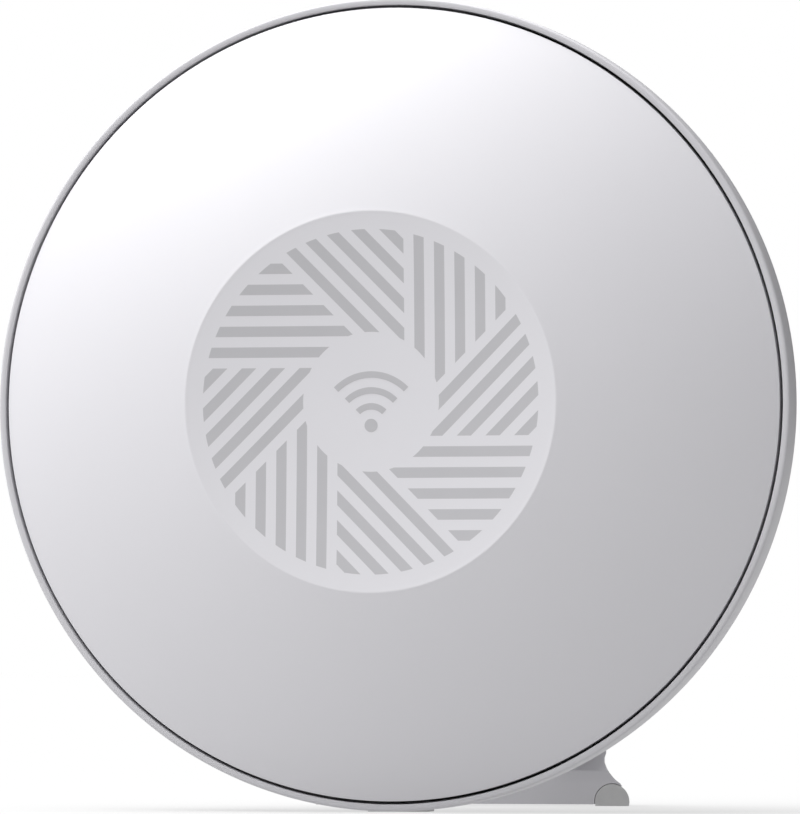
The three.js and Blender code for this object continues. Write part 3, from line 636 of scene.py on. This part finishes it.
# %% Slots and holes
slot_groups = ((90, 5), (206, 2), (334, 2))
slot_reach, slot_half, slot_round, slot_step = (65, 76), 1.1, 0.9, 6
screws, recess_size, recess_depth = [(-52, -20), (52, -20), (-38, 42), (38, 42)], 3.0, 3.4
keys = {"power_button": (-38, 14, 4.5), "pairing_button": (38, 14, 4.5), "reset_button": (38, -2, 1.1)}
keyholes, keyhole_z, neck_half, neck_rise, neck_foot, head_size = (-24, 24), 46, 2.2, 7, 3.6, 4.2
network_sockets, mouth_front = (-21.5, -3.5, 14.5, 32.5), 10.0
mouths = [(at, 8.3, 14.1) for at in network_sockets] + [(-36, 4.8, 11.6)]

cutters = []
for middle, each in slot_groups:
    for i in range(-each, each + 1):
        slot = block(slot_reach, (9, back_plane + 2), (-slot_half, slot_half))
        ends = [e for e in slot.edges if abs(e.verts[0].co.y - e.verts[1].co.y) > 5]
        bmesh.ops.bevel(slot, geom=ends, offset=slot_round, segments=4, profile=0.5, affect="EDGES",
                        material=-1)
        turned = Matrix.Rotation(math.radians(-middle - slot_step * i), 3, "Y")
        bmesh.ops.rotate(slot, cent=(0, 0, 0), matrix=turned, verts=slot.verts)
        cutters.append(slot)
for x, z in screws:
    cutters.append(rod(recess_size, x, z, back_plane - recess_depth, back_plane + 1))
for x, z, radius in keys.values():
    cutters.append(rod(radius + 0.3, x, z, back_plane - wall - 1, back_plane + 1))
for x in keyholes:
    neck_top = arc((x, keyhole_z + neck_rise), neck_half, 180, 0, 12)
    neck_z = keyhole_z + neck_foot
    head = arc((x, keyhole_z), head_size, 58, -238, 32)
    keyhole = [(x - neck_half, neck_z), *neck_top, (x + neck_half, neck_z), *head]
    cutters.append(slab(keyhole, back_plane - wall - 1, back_plane + 1))
window = [(-10.6, -2), (10.6, -2), (10.6, 15), (6.4, 15), (6.4, 36.6), (-6.4, 36.6), (-6.4, 15), (-10.6, 15)]
cutters.append(slab(window, back_plane - wall - 1, back_plane + 1))
for at, half, deep in mouths:
    mouth = (mouth_front, mouth_front + deep)
    cutters.append(block((at - half, at + half), mouth, (bay_top - 1, bay_top + 3)))
combine(housing, to_object("cutters", gathered(cutters)), "DIFFERENCE")
housing.data.shade_smooth()
housing.data.set_sharp_from_angle(angle=math.radians(32))
settle(housing, housing_shaded_white, ["rear_housing"])

# %% [markdown]
# ## Stand
# The stand is one moulding: a flat shoe on the back, a leg that sweeps away from it, and a wide foot with
# flared, rounded ends. Its side outline and its front outline are each pushed through, and the part that both
# share is the stand. That is also how a toolmaker would rough it out.

# %% Stand outlines
foot_front, foot_back, foot_half, taper = 70.0, 80.0, 33.0, 0.08
foot_base, foot_top, fillet = table + 0.3, table + 7.2, 5
leg_y, shoe_bottom, shoe_top, shoe_half = 76.5, 4.0, 40.0, 19.0
shoe_front, thick = back_plane + 0.3, 5.0


def leg_side(sign):
    """One long side of the leg, from the foot to the shoe: a smooth curve, moved by half the thickness."""
    long = shoe_bottom - foot_top
    middle = shoe_front + thick / 2
    a, b, c, d = (Vector(p) for p in ((leg_y, foot_top), (leg_y, foot_top + long * 0.45),
                                      (middle, shoe_bottom - long * 0.55), (middle, shoe_bottom)))
    points = []
    for i in range(49):
        t = i / 48
        at = a * (1 - t) ** 3 + b * 3 * t * (1 - t) ** 2 + c * 3 * t * t * (1 - t) + d * t ** 3
        along = ((b - a) * (1 - t) ** 2 + (c - b) * 2 * t * (1 - t) + (d - c) * t * t).normalized()
        points.append((at.x + sign * along.y * thick / 2, at.y - sign * along.x * thick / 2))
    return [p for p in points if p[1] > foot_top + fillet]


leg_front = leg_side(-1)[::-1]
reach = leg_front[-1][0] - foot_front
turns = [math.radians(a) for a in range(6, 91, 7)]
inner_curve = [(foot_front + reach * math.cos(a), foot_top + fillet - fillet * math.sin(a)) for a in turns]
side = [(foot_front, foot_base), (foot_back - 2, foot_base), *arc((foot_back - 2, table + 2.3), 2, -70, 0, 5),
        (foot_back, foot_top - 1), *arc((foot_back - 1, foot_top - 1), 1, 10, 90, 4),
        *leg_side(1), (shoe_front + thick, shoe_top - 2),
        *arc((shoe_front + thick - 2, shoe_top - 2), 2, 10, 90, 5),
        (shoe_front, shoe_top), *leg_front, *inner_curve]

foot_end, end_rise = 3.6, 0.9
end_centre = (foot_half - foot_end, table + end_rise)
neck = [(31.1, 4.6), (30.55, 5.0), (30.05, 5.4), (29.4, 6.1), (28.8, 6.85), (28.25, 7.8), (27.85, 8.8),
        (27.85, 9.7), (28.2, 10.8), (28.2, 20), (27.5, 30), (25.9, 42), (23.2, 59), (20.6, 75)]
right = [(foot_half, foot_base), *arc(end_centre, foot_end, 0, 50, 12), *[(x, table + z) for x, z in neck],
         (shoe_half, shoe_bottom + 4), (shoe_half, shoe_top - 6),
         *arc((shoe_half - 6, shoe_top - 6), 6, 8, 90, 8)]
face = right + [(-x, z) for x, z in reversed(right)]

# %% [markdown]
# The two outlines are pushed through and crossed. Before that, the front outline is drawn in a little towards
# the back of the foot. A rounded window lets the cables through, and a small bevel softens every sharp edge.

# %% Stand body
def narrowed(bm):
    """Draws a slab's sides in towards the back of the foot."""
    everything = list(bm.verts) + list(bm.edges) + list(bm.faces)
    bmesh.ops.bisect_plane(bm, geom=everything, dist=1e-5, plane_co=(0, foot_front, 0), plane_no=(0, 1, 0))
    for vert in bm.verts:
        share = max(0, vert.co.y - foot_front) / (foot_back - foot_front)
        vert.co.x *= 1 - taper * share
    return bm


stand = to_object("stand_body", slab(side, -foot_half - 1, foot_half + 1, "X"))
combine(stand, to_object("stand_face", narrowed(slab(face, shoe_front - 1, foot_back + 1))), "INTERSECT")
hole_corner, hole_half, hole_low, hole_high = 8, 6, 34, 50
quarters = ((hole_half, hole_high, 0), (-hole_half, hole_high, 90), (-hole_half, hole_low, 180),
            (hole_half, hole_low, 270))
cable_hole = [point for x, z, start in quarters
              for point in arc((x, table + z), hole_corner, start, start + 90, 10)]
combine(stand, to_object("cable_hole", slab(cable_hole, shoe_front - 1, foot_back - 2)), "DIFFERENCE")
soft_edge = stand.modifiers.new("soft_edge", "BEVEL")
soft_edge.width, soft_edge.segments = 0.0006, 3
soft_edge.limit_method, soft_edge.angle_limit = "ANGLE", math.radians(40)
apply_modifiers(stand)

# %% [markdown]
# A rubber pad fills each rounded end of the foot. Its seat is cut a little larger, so a fine line shows where
# rubber meets plastic. A tongue at the top slides behind the housing's wall and holds the stand.

# %% Pads and their seats
pad_size, seat_gap = 3.6, 0.12


def pad_outline(sign, size, floor):
    """A disc in one end of the foot, cut off flat at a height above the table."""
    dip = math.degrees(math.asin((end_rise - floor) / size))
    return [(sign * x, z) for x, z in arc(end_centre, size, -dip, 180 + dip, 40)]


seat_shapes = [pad_outline(sign, pad_size + seat_gap, -0.6) for sign in (-1, 1)]
seats = gathered([narrowed(slab(shape, foot_front - 1, foot_back - 2.7)) for shape in seat_shapes])
combine(stand, to_object("seats", seats), "DIFFERENCE")
tongue_z, inside_wall = (20.3, 36.3), 24.4
tongue = gathered([block((-10.2, 10.2), (22.0, inside_wall), tongue_z),
                   block((-6, 6), (inside_wall, shoe_front + 0.5), tongue_z)])
combine(stand, to_object("tongue", tongue), "UNION")
stand.data.shade_smooth()
stand.data.set_sharp_from_angle(angle=math.radians(32))
settle(stand, stand_white, ["stand"])
for sign, name in ((-1, "left"), (1, "right")):
    pad = narrowed(slab(pad_outline(sign, pad_size, 0), foot_front + 0.02, foot_back - 3))
    settle(to_object(f"foot_pad_{name}", pad), pad_rubber, [f"stand_pad_{name}"])

# %% [markdown]
# ## Keys
# Each round key has a crown that is slightly hollow for a fingertip and a rounded edge. The reset pin is a
# bare dowel, sunk in its hole. A key rides on its own body, so it can be pressed.

# %% Keys
def depth_of(name):
    """The lowest and the highest y of a node of the solid model, in millimetres."""
    low, high = (Vector(corner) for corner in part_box(name))
    return (low.y - disc_axis.y) * 1000, (high.y - disc_axis.y) * 1000


for name, (x, z, radius) in keys.items():
    bottom, top = depth_of(name)
    flange, stem = back_plane - wall - 0.3, min(radius, 1.5)
    round_off = min(0.5, radius * 0.3)
    hollow = 0.35 if radius > 2 else 0.0
    profile = [(0, bottom), (stem, bottom), (stem, flange - 1), (radius + 1, flange - 1),
               (radius + 1, flange), (radius, flange), (radius, top - round_off),
               (radius - round_off * 0.3, top - round_off * 0.3), (radius - round_off, top),
               (radius * 0.5, top - hollow * 0.7), (0, top - hollow)]
    key = spun(profile, steps=64, close=False)
    bmesh.ops.translate(key, vec=(x, 0, z), verts=key.verts)
    settle(to_object(f"{name}_cap", key), stand_white, [name], body=name)

# %% [markdown]
# ## Screws
# The heads sit deep in their recesses. Each is a pan head with a hexagonal socket, spun with a domed crown
# and then cut by a six-sided bar.

# %% Housing screws
for i, (x, z) in enumerate(screws, 1):
    tip, top = depth_of(f"housing_screw_{i}")
    profile = [(0, tip), (1.1, tip), (1.4, tip + 0.5), (1.4, top - 1.8), (2.7, top - 1.8), (2.7, top - 0.9),
               (2.55, top - 0.45), (2.2, top - 0.15), (1.6, top), (0, top)]
    screw = spun(profile, steps=48, close=False)
    bmesh.ops.translate(screw, vec=(x, 0, z), verts=screw.verts)
    head = to_object(f"screw_head_{i}", screw)
    combine(head, to_object("key_socket", rod(1.13, x, z, top - 1.1, top + 1, 6)), "DIFFERENCE")
    head.data.set_sharp_from_angle(angle=math.radians(30))
    settle(head, screw_steel, [f"housing_screw_{i}"])

# %% [markdown]
# ## Contacts in the network sockets
# Eight gilded springs lean out of the roof of each socket towards the plug. They are too fine for the solid
# model, so thin bars stand for them here.

# %% Contacts
springs = []
contact_pitch, contact_half, contact_y = 1.02, 0.22, (13.2, 13.6)
tip, root = bay_top + 3.0, bay_top + 13.5
lean = Matrix.Rotation(math.radians(12), 3, "X")
for at in network_sockets:
    for i in range(8):
        x = at + (i - 3.5) * contact_pitch
        wire = block((x - contact_half, x + contact_half), contact_y, (tip, root))
        bmesh.ops.rotate(wire, cent=(x, contact_y[0], root), matrix=lean, verts=wire.verts)
        springs.append(wire)
settle(to_object("socket_contacts", gathered(springs)), contact_gold)

# %% [markdown]
# ## Finishes of the nodes that stay
# The sockets, boards and inner parts keep the solid model's own meshes, whose shapes are already right. They
# only take their finishes here.

# %% Finishes of the solid model
looks = {
    "reflector_cup": reflector_white, "lamp_board": board_green, "lamp_flex_cable": flex_amber,
    "rim_pad": pad_rubber, "main_board": board_green, "processor_chip": chip_black, "heat_sink": sink_metal,
    "memory_chip": chip_black, "radio_shield_low_band": socket_steel, "radio_shield_high_band": socket_steel,
    "power_inductor": chip_black, "capacitor_1": sink_metal, "capacitor_2": sink_metal,
    "power_socket": socket_black,
}
endings = {"_shield": socket_steel, "_core": socket_black, "_switch": socket_steel}
families = {"lamp_board_screw": screw_steel, "board_screw": screw_steel, "antenna_lead": lead_black,
            "antenna": antenna_copper, "lamp": reflector_white}


def look_of(name):
    """A node's finish, by its own name, by how the name ends, or by how it starts."""
    found = [looks[name]] if name in looks else []
    found += [look for ending, look in endings.items() if name.endswith(ending)]
    found += [look for start, look in families.items() if name.startswith(start)]
    return found[0] if found else None


for name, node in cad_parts.items():
    finish = look_of(name)
    if finish is not None:
        for holder in node.material_slots:
            holder.link = "DATA"
        node.data.materials.clear()
        node.data.materials.append(finish.material)
print("nodes finished:", sum(1 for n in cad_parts.values() if n.data.materials))

# %% [markdown]
# ## Studio
# The router stands on a light table, a pale floor that glows softly, so that its underside isn't dark. The
# big soft lights hang above and to the left: the top of the dome is nearly white, and its lower right falls
# to grey.

# %% Floor
floor_mesh = bmesh.new()
bmesh.ops.create_grid(floor_mesh, x_segments=4, y_segments=4, size=6)
mesh = bpy.data.meshes.new("studio_floor")
floor_mesh.to_mesh(mesh)
floor_mesh.free()
floor = bpy.data.objects.new("studio_floor", mesh)
bpy.context.scene.collection.objects.link(floor)
floor_paint = bpy.data.materials.new("floor_paint")
floor_paint.use_nodes = True
floor_shader = floor_paint.node_tree.nodes["Principled BSDF"]
for key, value in {"Base Color": grey(0.17), "Roughness": 0.9, "Specular IOR Level": 0.0,
                   "Emission Color": grey(1.0), "Emission Strength": 0.63}.items():
    floor_shader.inputs[key].default_value = value
floor.data.materials.append(floor_paint)

# %% [markdown]
# The light comes from a bright patch in the studio's ceiling and from a wider one further to the left. Each
# fades smoothly with the angle, so the dome has no hard highlight. Both lean a little to the front, so that
# the white back keeps its shading. The camera itself sees plain white.

# %% Sky of the studio
world = bpy.data.worlds.new("studio_world")
bpy.context.scene.world = world
world.use_nodes = True
tree = world.node_tree
background = tree.nodes["Background"]
way = Value(tree, tree.nodes.new("ShaderNodeTexCoord").outputs["Generated"])


def patch(middle, narrow):
    """A bright patch round a direction, which fades with the angle from it."""
    dot = {"operation": "DOT_PRODUCT"}
    toward = way.node("ShaderNodeVectorMath", dot, out=1, i0=way, i1=middle.normalized())
    return toward.math("MAXIMUM", 0.0).math("POWER", narrow)


ceiling = Vector((-0.28, -0.14, 0.95))
side = Vector((-0.6, -0.22, 0.77))
glow = patch(ceiling, 7.5) * 7.6 + patch(side, 5.0) * 3.0
seen = Value(tree, tree.nodes.new("ShaderNodeLightPath").outputs["Is Camera Ray"])
strength = seen * 1.0 + (1 - seen) * glow
tree.links.new(strength.socket, background.inputs["Strength"])
background.inputs["Color"].default_value = (1, 1, 1, 1)
bpy.context.scene.view_settings.view_transform = "Standard"
print("ceiling light at", tuple(ceiling), "and side light at", tuple(side))
